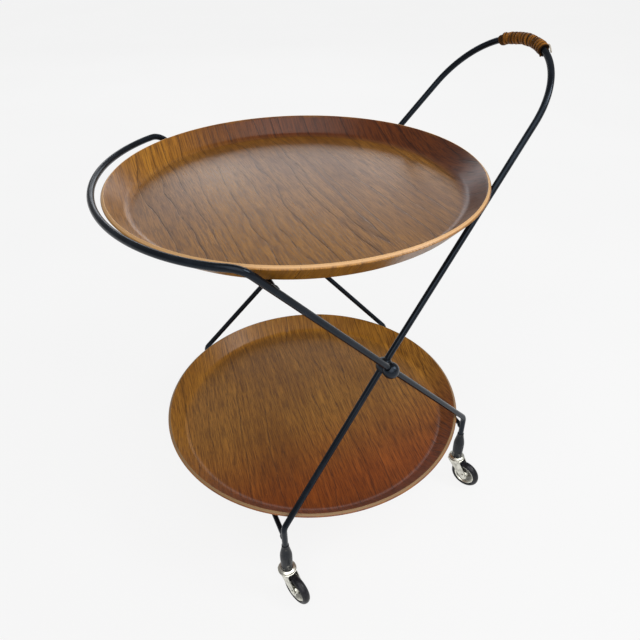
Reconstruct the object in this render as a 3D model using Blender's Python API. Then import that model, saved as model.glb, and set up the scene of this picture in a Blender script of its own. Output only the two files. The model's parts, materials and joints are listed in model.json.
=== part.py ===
"""Round two-tier tray trolley on casters, with a folding wire frame.

Two bent steel rods cross at a ball pivot on each side.  The handle frame runs from the left feet up
through the pivots to an arched handle on the right.  The ring frame runs from the right feet up to a
ring that curves round the left side of the upper tray.  Two round pressed-plywood trays rest on four
crossbars, and every leg ends in a tapered socket that holds a swivel caster.

Units are metres, +Z is up, +X points to the handle, and the floor is z = 0.
"""

import math

import bmesh
import bpy
from mathutils import Matrix, Vector

GAP = 0.0003                      # clearance that touching pieces keep

# Wire frame
ROD_R = 0.0044
BAR_R = 0.00375
PIVOT_X = 0.0087                  # puts the middle of the whole length at x = 0
PIVOT_Z = 0.3518
HANDLE_HALF = 0.1697              # half-width of the handle frame at the pivot
RING_HALF = 0.1844                # half-width of the ring frame at the pivot
HANDLE_RISE = math.radians(50.06)
HANDLE_NARROWS = 0.158            # half-width lost for each metre along the rod above the pivot
HANDLE_REACH = 0.450              # pivot to the crown of the arch, along the rod
RING_RISE = math.radians(48.62)
RING_WIDENS = 0.118
BEND_Z = 0.150                    # where the legs turn down to the sockets
HANDLE_FOOT = (-0.1734, 0.2204)   # foot place from the pivot: along X, and the half-width
RING_FOOT = (0.1755, 0.1404)
BEND_R = 0.018
RING_BEND_R = 0.026
ROD_END_Z = 0.093
ROUND_STEPS = 5

# Ring round the upper tray
RING_Z = 0.5698
RING_R = 0.2804
RING_CENTRE_X = -0.0297           # from the pivot

# Ball pivots
BALL_R = 0.0115
BALL_BORE_R = ROD_R + 0.0007
BALL_DROP = 0.0038                # ball centres below the kinks in their rods
BALL_LEAN = 0.0015                # and apart along X, each towards its own foot
PIN_R = 0.0028

# Handle wrap
WRAP_R = 0.0082
WRAP_HALF_ANGLE = math.radians(23)
ARCH_STEP = math.radians(7)

# Trays
PLY = 0.0055
TRAY_DEPTH = 0.0260
FLARE = math.radians(48)
FILLET_R = 0.014
UPPER_TRAY = {"rim_r": 0.2445, "x": -0.0520, "rim_z": 0.5669}   # x from the pivot
LOWER_TRAY = {"rim_r": 0.2405, "x": -0.0400, "rim_z": 0.1634}

# Leg sockets and casters
SOCKET_Z = (0.0585, 0.1130)
SOCKET_R = 0.0089
SOCKET_NECK_R = 0.0057
SOCKET_STEP_Z = 0.0915
STEM_R = 0.0044
STEM_TOP_Z = 0.0905
RACE_R = 0.0126
RACE_Z = (0.0553, 0.0582)
FORK_CAP_R = 0.0138
FORK_CAP_Z = (0.0525, 0.0550)
FORK_HALF = 0.0088
FORK_SHEET = 0.0014
FORK_BOSS_R = 0.0062
WHEEL_R = 0.0250
TYRE_SEAT_R = 0.0188
TYRE_HALF = 0.0064
AXLE_R = 0.0022
TRAIL = 0.0210
LEFT_SWIVEL = math.radians(-70)   # where the near left wheel trails; the far one mirrors it
RIGHT_SWIVEL = math.radians(-64)


def material(name, colour, roughness, metallic):
    """A Principled material."""
    mat = bpy.data.materials.new(name)
    mat.use_nodes = True
    shader = mat.node_tree.nodes["Principled BSDF"]
    shader.inputs["Base Color"].default_value = (*colour, 1)
    shader.inputs["Roughness"].default_value = roughness
    shader.inputs["Metallic"].default_value = metallic
    return mat


def add_mesh(name, bm, mat, parent=None, location=(0, 0, 0), smooth=35):
    """Turn a bmesh into an object, with its faces pointing out and its edges smoothed."""
    bmesh.ops.recalc_face_normals(bm, faces=bm.faces)
    mesh = bpy.data.meshes.new(name)
    bm.to_mesh(mesh)
    bm.free()
    mesh.materials.append(mat)
    mesh.shade_smooth()
    mesh.set_sharp_from_angle(angle=math.radians(smooth))
    obj = bpy.data.objects.new(name, mesh)
    bpy.context.scene.collection.objects.link(obj)
    obj.parent = parent
    obj.location = location
    return obj


def empty(name, location, turn=0.0):
    """An empty that carries the pieces of one caster."""
    obj = bpy.data.objects.new(name, None)
    bpy.context.scene.collection.objects.link(obj)
    obj.location = location
    obj.rotation_euler = (0, 0, turn)
    return obj


def revolved(profile, steps, ring=True):
    """Spin an (r, z) outline about Z; a ring outline closes on itself, the other meets the axis."""
    bm = bmesh.new()
    verts = [bm.verts.new((r, 0, z)) for r, z in profile]
    pairs = list(zip(verts, verts[1:]))
    if ring:
        pairs.append((verts[-1], verts[0]))
    edges = [bm.edges.new(pair) for pair in pairs]
    bmesh.ops.spin(bm, geom=verts + edges, cent=(0, 0, 0), axis=(0, 0, 1),
                   angle=2 * math.pi, steps=steps)
    bmesh.ops.remove_doubles(bm, verts=bm.verts, dist=1e-6)
    return bm


def cylinder(start, end, radius, sides=16):
    """A capped cylinder between two points."""
    start, end = Vector(start), Vector(end)
    along = end - start
    turn = along.to_track_quat("Z", "Y").to_matrix().to_4x4()
    bm = bmesh.new()
    bmesh.ops.create_cone(bm, cap_ends=True, segments=sides, radius1=radius, radius2=radius,
                          depth=along.length, matrix=Matrix.Translation((start + end) / 2) @ turn)
    return bm


def rounded(points, radii):
    """Replace each inner corner of a path by an arc of its own radius."""
    path = [points[0]]
    for before, corner, after, radius in zip(points, points[1:], points[2:], radii):
        back, ahead = (before - corner).normalized(), (after - corner).normalized()
        half = back.angle(ahead) / 2
        middle = (back + ahead).normalized() * (radius / math.sin(half))
        first = back * (radius / math.tan(half)) - middle
        last = ahead * (radius / math.tan(half)) - middle
        sweep = first.angle(last)
        for i in range(ROUND_STEPS + 1):
            share = i / ROUND_STEPS
            spoke = (first * math.sin((1 - share) * sweep) + last * math.sin(share * sweep))
            path.append(corner + middle + spoke / math.sin(sweep))
    return path + [points[-1]]


def rod(name, points, mat):
    """A round steel rod bent along a path."""
    curve = bpy.data.curves.new(name, "CURVE")
    curve.dimensions = "3D"
    curve.bevel_depth = ROD_R
    curve.bevel_resolution = 3
    curve.render_resolution_u = 0
    curve.use_fill_caps = True
    spline = curve.splines.new("POLY")
    spline.points.add(len(points) - 1)
    for knot, point in zip(spline.points, points):
        knot.co = (*point, 1)
    spline.use_smooth = True
    curve.materials.append(mat)
    obj = bpy.data.objects.new(name, curve)
    bpy.context.scene.collection.objects.link(obj)
    return obj


def mirrored(points):
    """The near half of a path, then its mirror image back down the far side."""
    far = [Vector((p.x, -p.y, p.z)) for p in reversed(points)]
    if (far[0] - points[-1]).length < 1e-6:
        far = far[1:]
    return points + far


def pivot(half):
    """The near pivot point of a frame."""
    return Vector((PIVOT_X, -half, PIVOT_Z))


def handle_point(along, side=-1):
    """A point on the straight handle rod above the pivot."""
    return Vector((PIVOT_X + along * math.cos(HANDLE_RISE),
                   side * (HANDLE_HALF - HANDLE_NARROWS * along),
                   PIVOT_Z + along * math.sin(HANDLE_RISE)))


def ring_point(along, side=-1):
    """A point on the straight ring rod above the pivot."""
    return Vector((PIVOT_X - along * math.cos(RING_RISE),
                   side * (RING_HALF + RING_WIDENS * along),
                   PIVOT_Z + along * math.sin(RING_RISE)))


def foot(frame, z, side=-1):
    """A point on a frame's vertical leg."""
    x, half = frame
    return Vector((PIVOT_X + x, side * half, z))


def arch():
    """Radius of the handle's arch, its centre along the rod, and its half-sweep.

    The arch touches both leaning rods and ends at HANDLE_REACH, so its radius is the distance from
    its centre to either rod.
    """
    lean = math.atan(HANDLE_NARROWS)
    centre = (HANDLE_REACH - HANDLE_HALF * math.cos(lean)) / (1 - HANDLE_NARROWS * math.cos(lean))
    return HANDLE_REACH - centre, centre, math.pi / 2 - lean


def arch_point(angle):
    """A point on the handle's arch; angle 0 is the crown, negative is the near side."""
    radius, centre, _ = arch()
    along = centre + radius * math.cos(angle)
    return Vector((PIVOT_X + along * math.cos(HANDLE_RISE), radius * math.sin(angle),
                   PIVOT_Z + along * math.sin(HANDLE_RISE)))


def handle_frame_path():
    """Foot, leg bend, pivot, and the arch up to its crown, then the same on the far side."""
    _, _, sweep = arch()
    legs = rounded([foot(HANDLE_FOOT, ROD_END_Z), foot(HANDLE_FOOT, BEND_Z), pivot(HANDLE_HALF)],
                   [BEND_R])
    steps = round(sweep / ARCH_STEP)
    return mirrored(legs + [arch_point(-sweep * (steps - i) / steps) for i in range(steps + 1)])


def ring_frame_path():
    """Foot, leg bend, pivot, ring bend, and half of the ring, then the same on the far side.

    The ring is an arc about its own centre that draws in a little towards its two bends.
    """
    top = (RING_Z - PIVOT_Z) / math.sin(RING_RISE)
    bend = ring_point(top)
    centre = Vector((PIVOT_X + RING_CENTRE_X, 0, RING_Z))
    spoke = bend - centre
    half_angle = math.atan2(-spoke.y, -spoke.x)
    draw_in = RING_R - spoke.length
    steps = 12
    ring = []
    for i in range(1, steps + 1):
        share = 1 - i / steps
        radius = RING_R - draw_in * share ** 4
        angle = half_angle * share
        ring.append(centre + Vector((-radius * math.cos(angle), -radius * math.sin(angle), 0)))
    straight = [foot(RING_FOOT, ROD_END_Z), foot(RING_FOOT, BEND_Z), pivot(RING_HALF)]
    legs = rounded(straight, [BEND_R])
    corner = rounded([pivot(RING_HALF), bend, ring[1]], [RING_BEND_R])
    return mirrored(legs + corner[1:-1] + ring[1:])


def crossbars(mat):
    """Four bars across the frames, which carry the two trays; the rods lean a little past them."""
    inset = Vector((0, ROD_R + 2 * GAP + HANDLE_NARROWS * BAR_R / math.sin(HANDLE_RISE), 0))
    upper_z = UPPER_TRAY["rim_z"] - TRAY_DEPTH - PLY - GAP - BAR_R
    lower_z = LOWER_TRAY["rim_z"] - TRAY_DEPTH - PLY - GAP - BAR_R
    ends = {
        "handle_frame_foot_bar": foot(HANDLE_FOOT, lower_z),
        "ring_frame_foot_bar": foot(RING_FOOT, lower_z),
        "handle_frame_tray_bar": handle_point((upper_z - PIVOT_Z) / math.sin(HANDLE_RISE)),
        "ring_frame_tray_bar": ring_point((upper_z - PIVOT_Z) / math.sin(RING_RISE)),
    }
    for name, near in ends.items():
        far = Vector((near.x, -near.y, near.z))
        add_mesh(name, cylinder(near + inset, far - inset, BAR_R), mat)


def cutter(name, bm, mat):
    """A hidden solid that only cuts another."""
    obj = add_mesh(name, bm, mat)
    obj.hide_render = True
    obj.display_type = "WIRE"
    return obj


def combine(obj, other, operation):
    """Add an exact Boolean modifier."""
    mod = obj.modifiers.new(other.name, "BOOLEAN")
    mod.operation = operation
    mod.solver = "EXACT"
    mod.object = other


def pivot_balls(mat, pin_mat):
    """Two balls at each pivot, flat where they meet, bored for their rods and for the pin."""
    reach = 2 * BALL_R
    for side, where in ((-1, "near"), (1, "far")):
        handle_kink = Vector((PIVOT_X, side * HANDLE_HALF, PIVOT_Z))
        ring_kink = Vector((PIVOT_X, side * RING_HALF, PIVOT_Z))
        share = BALL_DROP / (PIVOT_Z - BEND_Z)
        inner = handle_kink.lerp(foot(HANDLE_FOOT, BEND_Z, side), share)
        outer = ring_kink.lerp(foot(RING_FOOT, BEND_Z, side), share)
        inner.x = PIVOT_X - BALL_LEAN
        outer.x = PIVOT_X + BALL_LEAN
        inset = (outer - inner).normalized() * (BALL_BORE_R + GAP)
        pin_start = inner + inset
        pin_end = outer - inset
        add_mesh("pivot_pin_" + where, cylinder(pin_start, pin_end, PIN_R, 12), pin_mat)
        runs = {
            "pivot_ball_handle_": (inner, outer, handle_kink, handle_point(reach, side),
                                   HANDLE_FOOT),
            "pivot_ball_ring_": (outer, inner, ring_kink, ring_point(reach, side), RING_FOOT),
        }
        for prefix, (centre, other, kink, above, frame) in runs.items():
            up = (above - kink).normalized()
            down = (foot(frame, BEND_Z, side) - kink).normalized()
            along = (up - down).normalized() * reach
            bm = bmesh.new()
            bmesh.ops.create_uvsphere(bm, u_segments=16, v_segments=10, radius=BALL_R)
            ball = add_mesh(prefix + where, bm, mat, location=centre, smooth=60)
            bore = cutter(prefix + where + "_bore",
                          cylinder(kink - along, kink + along, BALL_BORE_R, 14), mat)
            pin_bore = cutter(prefix + where + "_pin_bore",
                              cylinder(inner, outer, PIN_R + GAP, 12), mat)
            across = (other - centre).normalized()
            face = (centre + other) / 2 - across * GAP / 2
            beyond = cutter(prefix + where + "_beyond",
                            cylinder(face, face + across * reach, reach, 12), mat)
            combine(ball, beyond, "DIFFERENCE")
            combine(ball, bore, "DIFFERENCE")
            combine(ball, pin_bore, "DIFFERENCE")


def handle_wrap(mat):
    """A sleeve round the crown of the arch: the outer shape of the wound strip."""
    radius, _, sweep = arch()
    inner_r = ROD_R + 2 * GAP
    up = Vector((math.cos(HANDLE_RISE), 0, math.sin(HANDLE_RISE)))
    side_on = Vector((-math.sin(HANDLE_RISE), 0, math.cos(HANDLE_RISE)))
    steps = 8
    sides = 14
    bm = bmesh.new()
    rings = []
    for i in range(steps + 1):
        angle = WRAP_HALF_ANGLE * (2 * i / steps - 1)
        centre = arch_point(angle)
        outward = up * math.cos(angle) + Vector((0, math.sin(angle), 0))
        ring = []
        for wall in (WRAP_R, inner_r):
            ring.append([bm.verts.new(centre + wall * (math.cos(turn) * outward
                                                       + math.sin(turn) * side_on))
                         for turn in (2 * math.pi * k / sides for k in range(sides))])
        rings.append(ring)
    for one, two in zip(rings, rings[1:]):
        for wall in (0, 1):
            for k in range(sides):
                n = (k + 1) % sides
                bm.faces.new((one[wall][k], one[wall][n], two[wall][n], two[wall][k]))
    for ring in (rings[0], rings[-1]):
        for k in range(sides):
            n = (k + 1) % sides
            bm.faces.new((ring[0][k], ring[0][n], ring[1][n], ring[1][k]))
    add_mesh("handle_wrap", bm, mat)


def tray_profile(rim_r, rim_z):
    """Outline of a pressed tray: flat floor, fillet, straight flare, edge cut square to the sheet."""
    floor_z = rim_z - TRAY_DEPTH
    fillet_rise = FILLET_R * (1 - math.cos(FLARE))
    run = FILLET_R * math.sin(FLARE) + (TRAY_DEPTH - fillet_rise) / math.tan(FLARE)
    floor_r = rim_r - run
    steps = 3
    angles = [FLARE * i / steps for i in range(steps + 1)]
    inside = [(floor_r + FILLET_R * math.sin(a), floor_z + FILLET_R * (1 - math.cos(a)))
              for a in angles]
    outer_r = FILLET_R + PLY
    outside = [(floor_r + outer_r * math.sin(a), floor_z + FILLET_R - outer_r * math.cos(a))
               for a in angles]
    edge = (rim_r + PLY * math.sin(FLARE), rim_z - PLY * math.cos(FLARE))
    top = [(0, floor_z), *inside, (rim_r, rim_z)]
    return top + [edge, *reversed(outside), (0, floor_z - PLY)]


def tray(name, spec, mat):
    """A round plywood tray."""
    bm = revolved(tray_profile(spec["rim_r"], spec["rim_z"]), 64, ring=False)
    bmesh.ops.translate(bm, verts=bm.verts, vec=(PIVOT_X + spec["x"], 0, 0))
    add_mesh(name, bm, mat)


def leg_socket(name, parent, mat):
    """A turned sleeve: the rod enters its neck, the caster stem its mouth."""
    low, high = SOCKET_Z
    neck_bore = ROD_R + 0.0005
    stem_bore = STEM_R + 0.0005
    shoulder = high - 0.014
    profile = [
        (stem_bore, low), (SOCKET_R - 0.0006, low), (SOCKET_R, low + 0.0008),
        (SOCKET_R - 0.0004, shoulder - 0.006), (SOCKET_R - 0.0010, shoulder),
        (SOCKET_NECK_R + 0.0008, high - 0.004), (SOCKET_NECK_R, high), (neck_bore, high),
        (neck_bore, SOCKET_STEP_Z),
    ]
    if stem_bore > neck_bore:
        profile.append((stem_bore, SOCKET_STEP_Z))
    add_mesh(name, revolved(profile, 16), mat, parent)


def caster_race(name, parent, mat):
    """The fixed upper bearing cup, a ring just above the fork."""
    low, high = RACE_Z
    bore = STEM_R + 0.0005
    profile = [(bore, low + 0.0009), (RACE_R - 0.004, low), (RACE_R, low), (RACE_R, low + 0.0012),
               (RACE_R - 0.003, high), (bore, high)]
    add_mesh(name, revolved(profile, 16), mat, parent)


def caster_stem(name, parent, mat):
    """The swivel pin, riveted under the fork's cap."""
    head_r = 0.0060
    under = FORK_CAP_Z[0] - GAP
    profile = [(0, under - 0.0014), (head_r - 0.001, under - 0.0014), (head_r, under),
               (STEM_R, under), (STEM_R, STEM_TOP_Z - 0.001), (STEM_R - 0.001, STEM_TOP_Z),
               (0, STEM_TOP_Z)]
    add_mesh(name, revolved(profile, 12, ring=False), mat, parent)


def caster_fork(name, parent, mat):
    """Stamped fork: a round cap, and two cheeks that taper down to the axle."""
    low, high = FORK_CAP_Z
    cheek_top = low + 0.0010
    boss = Vector((TRAIL, 0, WHEEL_R))
    corners = [Vector((-0.0105, 0, cheek_top)), Vector((0.0125, 0, cheek_top))]
    arc = [boss + FORK_BOSS_R * Vector((math.cos(a), 0, math.sin(a)))
           for a in (math.radians(-150 + 30 * i) for i in range(7))]
    bm = bmesh.new()
    outline = [bm.verts.new(p - Vector((0, FORK_HALF, 0))) for p in [*corners[:1], *arc, corners[1]]]
    face = bm.faces.new(outline)
    grown = bmesh.ops.extrude_face_region(bm, geom=[face])
    lifted = [v for v in grown["geom"] if isinstance(v, bmesh.types.BMVert)]
    bmesh.ops.translate(bm, verts=lifted, vec=(0, 2 * FORK_HALF, 0))
    fork = add_mesh(name, bm, mat, parent)

    cap = [(0, low), (FORK_CAP_R - 0.0008, low), (FORK_CAP_R, low + 0.0008),
           (FORK_CAP_R, high - 0.0008), (FORK_CAP_R - 0.0010, high), (0, high)]
    slot_half = FORK_HALF - FORK_SHEET
    slot = bmesh.new()
    bmesh.ops.create_cube(slot, size=1, matrix=Matrix.LocRotScale(
        (0.010, 0, low / 2), None, (0.080, 2 * slot_half, low)))
    parts = [
        ("_cap", revolved(cap, 18, ring=False), "UNION"),
        ("_slot", slot, "DIFFERENCE"),
        ("_stem_hole", cylinder((0, 0, low - 0.01), (0, 0, high + 0.01), STEM_R + 2 * GAP, 12),
         "DIFFERENCE"),
        ("_axle_hole", cylinder((TRAIL, -0.02, WHEEL_R), (TRAIL, 0.02, WHEEL_R), AXLE_R + 2 * GAP, 10),
         "DIFFERENCE"),
    ]
    for suffix, solid, operation in parts:
        tool = cutter(name + suffix, solid, mat)
        tool.parent = parent
        combine(fork, tool, operation)


def turned_on_axle(name, profile, steps, mat, parent, ring=True):
    """A piece turned about the wheel's axle, with its origin at the wheel's centre."""
    bm = revolved(profile, steps, ring)
    bmesh.ops.rotate(bm, verts=bm.verts, cent=(0, 0, 0), matrix=Matrix.Rotation(math.pi / 2, 3, "X"))
    return add_mesh(name, bm, mat, parent, location=(TRAIL, 0, WHEEL_R))


def caster_axle(name, parent, mat):
    """The axle rivet, with a head outside each cheek."""
    head_r = 0.0040
    face = FORK_HALF + GAP
    crown = face + 0.0012
    profile = [(0, -crown), (head_r - 0.001, -crown), (head_r, -face), (AXLE_R, -face),
               (AXLE_R, face), (head_r, face), (head_r - 0.001, crown), (0, crown)]
    turned_on_axle(name, profile, 10, mat, parent, ring=False)


def caster_wheel(name, parent, mat):
    """The pressed wheel: a hub, a thin dished web and a rim that seats the tyre."""
    bore = AXLE_R + 2 * GAP
    hub_r, hub_half = 0.0055, 0.0066
    web_half = 0.0016
    rim_r, rim_half = 0.0152, 0.0046
    seat = TYRE_SEAT_R - GAP
    half = [(bore, hub_half), (hub_r, hub_half), (hub_r + 0.001, web_half), (rim_r, web_half),
            (rim_r + 0.0008, rim_half), (seat, rim_half)]
    profile = half + [(r, -y) for r, y in reversed(half)]
    turned_on_axle(name, profile, 16, mat, parent)


def caster_tyre(name, parent, mat):
    """A solid tyre with a round tread."""
    steps = 6
    bulge = WHEEL_R - TYRE_SEAT_R
    tread = [(TYRE_SEAT_R + 0.0004 + (bulge - 0.0004) * math.cos(a), TYRE_HALF * math.sin(a))
             for a in (math.pi * (i / steps - 0.5) for i in range(steps + 1))]
    profile = [(TYRE_SEAT_R, -TYRE_HALF + 0.0014), *tread, (TYRE_SEAT_R, TYRE_HALF - 0.0014)]
    turned_on_axle(name, profile, 24, mat, parent)


def legs_and_casters(mats):
    """Four sockets, each with its caster, swivelled as they stand."""
    feet = {
        "left": (HANDLE_FOOT, LEFT_SWIVEL),
        "right": (RING_FOOT, RIGHT_SWIVEL),
    }
    for end, (frame, swivel) in feet.items():
        for side, where in ((-1, "near"), (1, "far")):
            tag = "_{}_{}".format(end, where)
            place = foot(frame, 0, side)
            leg = empty("leg" + tag, place)
            leg_socket("leg_socket" + tag, leg, mats["black"])
            caster_race("caster_race" + tag, leg, mats["plated"])
            caster = empty("caster" + tag, place, -side * swivel)
            caster_stem("caster_stem" + tag, caster, mats["plated"])
            caster_fork("caster_fork" + tag, caster, mats["plated"])
            caster_axle("caster_axle" + tag, caster, mats["plated"])
            caster_wheel("caster_wheel" + tag, caster, mats["wheel"])
            caster_tyre("caster_tyre" + tag, caster, mats["rubber"])


def main():
    for obj in list(bpy.data.objects):
        bpy.data.objects.remove(obj)
    mats = {
        "black": material("black_steel", (0.012, 0.013, 0.016), 0.42, 0.0),
        "ball": material("black_ball", (0.010, 0.010, 0.012), 0.25, 0.0),
        "wood": material("teak_ply", (0.26, 0.115, 0.045), 0.45, 0.0),
        "cane": material("wound_cane", (0.32, 0.14, 0.05), 0.55, 0.0),
        "plated": material("plated_steel", (0.62, 0.60, 0.56), 0.32, 1.0),
        "wheel": material("wheel_metal", (0.70, 0.68, 0.64), 0.40, 1.0),
        "rubber": material("tyre_rubber", (0.015, 0.015, 0.017), 0.50, 0.0),
    }
    rod("handle_frame", handle_frame_path(), mats["black"])
    rod("ring_frame", ring_frame_path(), mats["black"])
    crossbars(mats["black"])
    pivot_balls(mats["ball"], mats["plated"])
    handle_wrap(mats["cane"])
    tray("upper_tray", UPPER_TRAY, mats["wood"])
    tray("lower_tray", LOWER_TRAY, mats["wood"])
    legs_and_casters(mats)


main()
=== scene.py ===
"""Round two-tier tray trolley: the detailed surfaces, finishes and studio round its CAD frame.

Units are metres, +Z is up, +X points to the arched handle and the floor is z = 0.
"""

import json
import math

import bmesh
import bpy
import numpy as np
from bpy.props import FloatProperty, FloatVectorProperty, IntProperty, PointerProperty
from bpy.types import Operator, Panel, PropertyGroup
from mathutils import Matrix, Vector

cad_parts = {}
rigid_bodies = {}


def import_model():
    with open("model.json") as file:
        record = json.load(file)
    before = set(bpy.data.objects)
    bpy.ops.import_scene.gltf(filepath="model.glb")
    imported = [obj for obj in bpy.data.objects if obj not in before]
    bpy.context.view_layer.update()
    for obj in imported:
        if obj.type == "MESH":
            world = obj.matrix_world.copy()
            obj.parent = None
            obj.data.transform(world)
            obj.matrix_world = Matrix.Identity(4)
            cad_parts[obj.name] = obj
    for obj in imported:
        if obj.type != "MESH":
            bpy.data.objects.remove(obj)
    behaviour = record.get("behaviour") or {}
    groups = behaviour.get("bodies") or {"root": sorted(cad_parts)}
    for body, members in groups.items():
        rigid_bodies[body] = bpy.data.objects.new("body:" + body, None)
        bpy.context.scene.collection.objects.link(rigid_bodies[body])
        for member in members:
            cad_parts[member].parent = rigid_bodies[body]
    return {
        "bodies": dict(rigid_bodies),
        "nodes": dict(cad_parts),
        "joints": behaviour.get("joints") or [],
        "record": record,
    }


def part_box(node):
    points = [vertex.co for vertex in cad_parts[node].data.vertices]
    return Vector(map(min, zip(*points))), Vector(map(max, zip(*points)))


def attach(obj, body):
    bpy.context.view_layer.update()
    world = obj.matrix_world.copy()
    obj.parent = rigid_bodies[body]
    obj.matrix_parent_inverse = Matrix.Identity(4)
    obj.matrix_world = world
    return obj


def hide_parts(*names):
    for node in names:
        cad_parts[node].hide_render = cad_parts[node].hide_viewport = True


bl_info = {
    "name": "Tray Trolley",
    "version": (1, 0, 0),
    "blender": (4, 5, 0),
    "location": "3D View > Sidebar > Trolley",
    "description": "Builds the surfaces and finishes of a folding two-tier tray trolley",
    "category": "Add Mesh",
}

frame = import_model()

# The wire frame's own lines.  Along and half-width are measured from the pivot.
PIVOT_X = 0.0087
PIVOT_Z = 0.3518
HANDLE_HALF = 0.1697
RING_HALF = 0.1844
HANDLE_RISE = math.radians(50.06)
HANDLE_NARROWS = 0.158
HANDLE_REACH = 0.450
RING_RISE = math.radians(48.62)
RING_WIDENS = 0.118
BALL_DROP = 0.0038                # ball centres below the kinks in their rods
BALL_LEAN = 0.0015                # and apart along X, each towards its own foot
BALL_GAP = 0.0003                 # between the balls' flat faces
BEND_Z = 0.150
HANDLE_FOOT = (-0.1734, 0.2204)
RING_FOOT = (0.1755, 0.1404)
BEND_R = 0.018
RING_BEND_R = 0.026
ROD_END_Z = 0.093
RING_Z = 0.5698
RING_R = 0.2804
RING_CENTRE_X = -0.0297
WRAP_HALF_ANGLE = math.radians(23)

# Trays
FLARE = math.radians(48)
FILLET_R = 0.014
UPPER_TRAY = {"rim_r": 0.2445, "x": PIVOT_X - 0.0520, "rim_z": 0.5669}
LOWER_TRAY = {"rim_r": 0.2405, "x": PIVOT_X - 0.0400, "rim_z": 0.1634}

# Casters, in the caster's own place: the swivel pin stands at x = 0 and the wheel trails along +X.
TRAIL = 0.0210
WHEEL_Z = 0.0250
FORK_HALF = 0.0088
CASTERS = {
    "left_near": (HANDLE_FOOT, -1, math.radians(-70)),
    "left_far": (HANDLE_FOOT, 1, math.radians(70)),
    "right_near": (RING_FOOT, -1, math.radians(-64)),
    "right_far": (RING_FOOT, 1, math.radians(64)),
}


# ---------------------------------------------------------------- settings

def length(name, description, default, least):
    """A length that a user may change."""
    return FloatProperty(name=name, description=description, default=default, min=least,
                         unit="LENGTH", subtype="DISTANCE")


def tint(name, description, default):
    """A colour that a user may change."""
    return FloatVectorProperty(name=name, description=description, default=default, size=3,
                               min=0, max=1, subtype="COLOR")


class TrolleySizes(PropertyGroup):
    """Sizes that a user may change."""

    rod_radius: length("Rod radius", "Radius of the bent steel rods", 0.0044, 0.001)
    bar_radius: length("Bar radius", "Radius of the bars that carry the trays", 0.00375, 0.001)
    ball_radius: length("Ball radius", "Radius of the pivot balls", 0.0115, 0.006)
    ply: length("Ply thickness", "Thickness of the trays' pressed plywood", 0.0055, 0.001)
    tray_depth: length("Tray depth", "Height of a tray's rim above its floor", 0.0260, 0.005)
    wrap_radius: length("Winding radius", "Outer radius of the handle's winding", 0.0082, 0.005)
    wrap_turns: IntProperty(
        name="Winding turns", description="How many times the strip goes round the handle",
        default=15, min=3, max=40)
    wheel_radius: length("Wheel radius", "Radius of a tyre's tread", 0.0250, 0.01)


class TrolleyColours(PropertyGroup):
    """Colours that a user may change."""

    enamel: tint("Enamel", "Black enamel of the frame", (0.004, 0.005, 0.007))
    teak_light: tint("Teak, light", "Light wood between the growth rings", (0.290, 0.128, 0.019))
    teak_brown: tint("Teak, brown", "Middle tone of the veneer", (0.180, 0.070, 0.007))
    teak_dark: tint("Teak, dark", "Dark lines and pores of the veneer", (0.045, 0.016, 0.002))
    cut_edge: tint("Cut edge", "Bare plies along the trays' edges", (0.46, 0.27, 0.12))
    cane: tint("Cane", "Strip wound round the handle", (0.205, 0.078, 0.010))
    nickel: tint("Nickel", "Plating of the casters", (0.74, 0.73, 0.65))
    rubber: tint("Rubber", "Tyres", (0.006, 0.006, 0.008))


# ---------------------------------------------------------------- surfaces

def unit(v):
    """Each vector divided by its length."""
    return v / np.linalg.norm(v, axis=-1, keepdims=True)


def ease(t):
    """Smooth step from 0 to 1: 3t^2 - 2t^3."""
    t = np.clip(t, 0, 1)
    return t * t * (3 - 2 * t)


def bent(points, radii, count=16):
    """A path whose inner corners are rounded.

    Each arc touches both runs at radius / tan(half the corner's angle), and its spokes turn evenly
    from the first touching point to the last.
    """
    points = [np.asarray(p, float) for p in points]
    parts = [points[0][None]]
    for before, at, after, radius in zip(points, points[1:], points[2:], radii):
        back, ahead = unit(before - at), unit(after - at)
        half = math.acos(float(back @ ahead)) / 2
        middle = unit(back + ahead) * (radius / math.sin(half))
        first = back * (radius / math.tan(half)) - middle
        last = ahead * (radius / math.tan(half)) - middle
        sweep = math.pi - 2 * half
        share = np.linspace(0, 1, count)[:, None]
        spokes = first * np.sin((1 - share) * sweep) + last * np.sin(share * sweep)
        parts.append(at + middle + spokes / math.sin(sweep))
    return np.vstack(parts + [points[-1][None]])


def mirrored(path):
    """The near half of a path, then its mirror image in y back down the far side."""
    far = path[::-1] * (1, -1, 1)
    same = np.linalg.norm(far[0] - path[-1]) < 1e-6
    return np.vstack([path, far[1:] if same else far])


def ended(points):
    """Rows of points, with a pole before the first row and after the last, at their middles."""
    ends = [np.broadcast_to(points[i].mean(0), points[:1].shape) for i in (0, -1)]
    return np.concatenate([ends[0], points, ends[1]])


def carried(path, section, across):
    """A section carried along a path.

    section(i, j) is an array, path points by corners by 2, of distances along two directions that
    lie across the path: the first is the path's direction crossed with `across`, the second
    completes them.
    """
    step = unit(np.diff(path, axis=0))
    along = unit(np.vstack([step[:1], step[:-1] + step[1:], step[-1:]]))
    one = unit(np.cross(along, across))
    two = np.cross(along, one)
    return ended(path[:, None] + section[..., :1] * one[:, None]
                 + section[..., 1:] * two[:, None])


def round_section(radius, count, sides):
    """A circle of a radius that may change along the path."""
    turn = np.linspace(0, 2 * math.pi, sides, endpoint=False)
    circle = np.stack([np.cos(turn), np.sin(turn)], axis=-1)
    return np.broadcast_to(np.reshape(radius, (-1, 1, 1)), (count, 1, 1)) * circle[None]


def turned(profile, steps):
    """An (r, z) outline turned about Z: x = r cos(turn), y = r sin(turn)."""
    profile = np.asarray(profile, float)
    turn = np.linspace(0, 2 * math.pi, steps, endpoint=False)
    radius, height = profile[:, :1], profile[:, 1:]
    return np.stack([radius * np.cos(turn), radius * np.sin(turn),
                     np.broadcast_to(height, (len(profile), steps))], axis=-1)


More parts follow.
